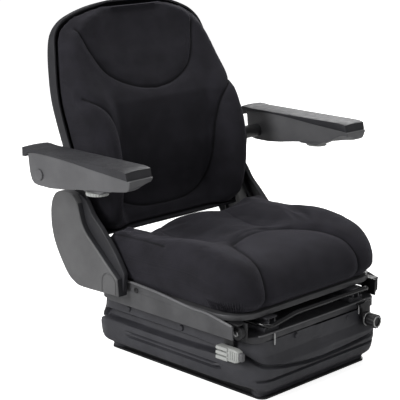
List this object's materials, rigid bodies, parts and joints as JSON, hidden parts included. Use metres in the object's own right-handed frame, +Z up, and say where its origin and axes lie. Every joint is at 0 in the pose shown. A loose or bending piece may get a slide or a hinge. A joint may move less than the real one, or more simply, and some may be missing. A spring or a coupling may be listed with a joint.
{
  "type": "tractor suspension seat",
  "caption": "Tractor seat on a scissor suspension inside a rubber bellows, with slide rails, padded cushion, reclining padded backrest, side covers and folding armrests.",
  "frame": {"origin": "centre of the base plate underside, midway between the four mounting holes", "axes": "+Z up, the sitter faces -Y, +X is the sitter's left"},
  "size_m": [0.69, 0.5924, 0.704],
  "materials": {
    "black_steel": "satin black powder coat",
    "pan_steel": "dark grey painted pressing",
    "bright_steel": "zinc plated steel",
    "rubber": "moulded rubber",
    "fabric": "woven seat cloth",
    "cover_plastic": "fine grained moulding",
    "light_plastic": "moulded plastic",
    "black_plastic": "moulded plastic",
    "pad_vinyl": "integral skin foam",
    "roller_nylon": "turned nylon"
  },
  "bodies": {
    "base": {"base_plate": "black_steel", "base_channel_right": "black_steel", "base_channel_left": "black_steel", "base_pivot_shaft": "bright_steel", "bump_stops": "rubber", "damper_lower_bracket": "bright_steel", "bellows": "rubber", "coil_spring_right": "bright_steel", "coil_spring_left": "bright_steel"},
    "upper_frame": {"upper_plate": "black_steel", "upper_channel_right": "black_steel", "upper_channel_left": "black_steel", "upper_pivot_shaft": "bright_steel", "damper_upper_bracket": "bright_steel", "slide_lower_rail_right": "black_steel", "slide_lower_rail_left": "black_steel", "adjuster_bracket": "black_steel", "lever_bracket": "black_steel"},
    "scissor_outer": {"outer_arm_right": "black_steel", "outer_arm_left": "black_steel", "outer_cross_tube": "black_steel", "outer_rollers": "roller_nylon", "centre_pivot_pins": "bright_steel"},
    "scissor_inner": {"inner_arm_right": "black_steel", "inner_arm_left": "black_steel", "inner_cross_tube": "black_steel", "inner_rollers": "roller_nylon"},
    "damper_body": {"damper_tube": "black_steel"},
    "damper_piston": {"damper_rod": "bright_steel"},
    "preload_control": {"preload_knob": "black_plastic"},
    "height_control": {"height_lever": "light_plastic"},
    "seat": {"slide_upper_rail_right": "bright_steel", "slide_upper_rail_left": "bright_steel", "seat_pan": "pan_steel", "pan_side_plate_right": "pan_steel", "pan_side_plate_left": "pan_steel", "front_hub_right": "black_steel", "front_hub_left": "black_steel", "recline_bolts": "bright_steel", "seat_cushion": "fabric"},
    "release_bar": {"slide_release_bar": "black_steel"},
    "backrest": {"backrest_shell": "cover_plastic", "backrest_cushion": "fabric", "side_cover_right": "cover_plastic", "side_cover_left": "cover_plastic", "side_arm_right": "black_steel", "side_arm_left": "black_steel", "back_mount_bolts": "bright_steel", "armrest_pins": "bright_steel"},
    "recline_control": {"recline_lever": "black_plastic"},
    "armrest_right": {"armrest_shell_right": "cover_plastic", "armrest_pad_right": "pad_vinyl"},
    "armrest_left": {"armrest_shell_left": "cover_plastic", "armrest_pad_left": "pad_vinyl"},
    "wheel_right": {"tilt_wheel_right": "light_plastic"},
    "wheel_left": {"tilt_wheel_left": "light_plastic"}
  },
  "joints": [
    {"name": "suspension_travel", "type": "slide", "parent": "base", "child": "upper_frame", "axis": [0, 0, 1], "range_m": [-0.06, 0], "stiffness_N_per_m": 6000, "springref_m": 0.1, "deforming": ["bellows", "coil_spring_right", "coil_spring_left"]},
    {"name": "outer_arm_swing", "type": "hinge", "parent": "base", "child": "scissor_outer", "pos_m": [0, 0.15, 0.0185], "axis": [1, 0, 0], "range_deg": [0, 11.8]},
    {"name": "inner_arm_swing", "type": "hinge", "parent": "upper_frame", "child": "scissor_inner", "pos_m": [0, 0.15, 0.1135], "axis": [1, 0, 0], "range_deg": [-11.8, 0]},
    {"name": "damper_swing", "type": "hinge", "parent": "base", "child": "damper_body", "pos_m": [0, -0.15, 0.022], "axis": [1, 0, 0], "range_deg": [-15.2, 0]},
    {"name": "damper_stroke", "type": "slide", "parent": "damper_body", "child": "damper_piston", "axis": [0, 0.9223, 0.3865], "range_m": [-0.016, 0]},
    {"name": "preload_knob_turn", "type": "hinge", "parent": "upper_frame", "child": "preload_control", "pos_m": [0.134, -0.25, 0.097], "axis": [0, -1, 0], "continuous": true},
    {"name": "height_lever_pump", "type": "hinge", "parent": "upper_frame", "child": "height_control", "pos_m": [-0.206, -0.163, 0.099], "axis": [-1, 0, 0], "range_deg": [-20, 20], "stiffness_Nm_per_rad": 2},
    {"name": "fore_aft_slide", "type": "slide", "parent": "upper_frame", "child": "seat", "axis": [0, 1, 0], "range_m": [-0.075, 0.075]},
    {"name": "release_bar_lift", "type": "hinge", "parent": "seat", "child": "release_bar", "pos_m": [0, -0.112, 0.149], "axis": [-1, 0, 0], "range_deg": [0, 4], "stiffness_Nm_per_rad": 3, "springref_deg": -11.46},
    {"name": "backrest_recline", "type": "hinge", "parent": "seat", "child": "backrest", "pos_m": [0, 0.185, 0.185], "axis": [-1, 0, 0], "range_deg": [-8, 25]},
    {"name": "recline_lever_pull", "type": "hinge", "parent": "backrest", "child": "recline_control", "pos_m": [0.24, 0.185, 0.185], "axis": [-1, 0, 0], "range_deg": [0, 8], "stiffness_Nm_per_rad": 2, "springref_deg": -17.19},
    {"name": "armrest_right_fold", "type": "hinge", "parent": "backrest", "child": "armrest_right", "pos_m": [-0.31, 0.205, 0.401], "axis": [-1, 0, 0], "range_deg": [0, 95]},
    {"name": "armrest_left_fold", "type": "hinge", "parent": "backrest", "child": "armrest_left", "pos_m": [0.31, 0.205, 0.401], "axis": [-1, 0, 0], "range_deg": [0, 95]},
    {"name": "wheel_right_turn", "type": "hinge", "parent": "armrest_right", "child": "wheel_right", "pos_m": [-0.318, 0.062, 0.383], "axis": [0, 0, 1], "continuous": true},
    {"name": "wheel_left_turn", "type": "hinge", "parent": "armrest_left", "child": "wheel_left", "pos_m": [0.318, 0.062, 0.383], "axis": [0, 0, 1], "continuous": true}
  ],
  "couplings": [
    {"joint": "outer_arm_swing", "follows": "suspension_travel", "rad_per_m": -3.4213},
    {"joint": "inner_arm_swing", "follows": "suspension_travel", "rad_per_m": 3.4213},
    {"joint": "damper_swing", "follows": "suspension_travel", "rad_per_m": 4.4044},
    {"joint": "damper_stroke", "follows": "suspension_travel", "ratio": 0.26391}
  ]
}
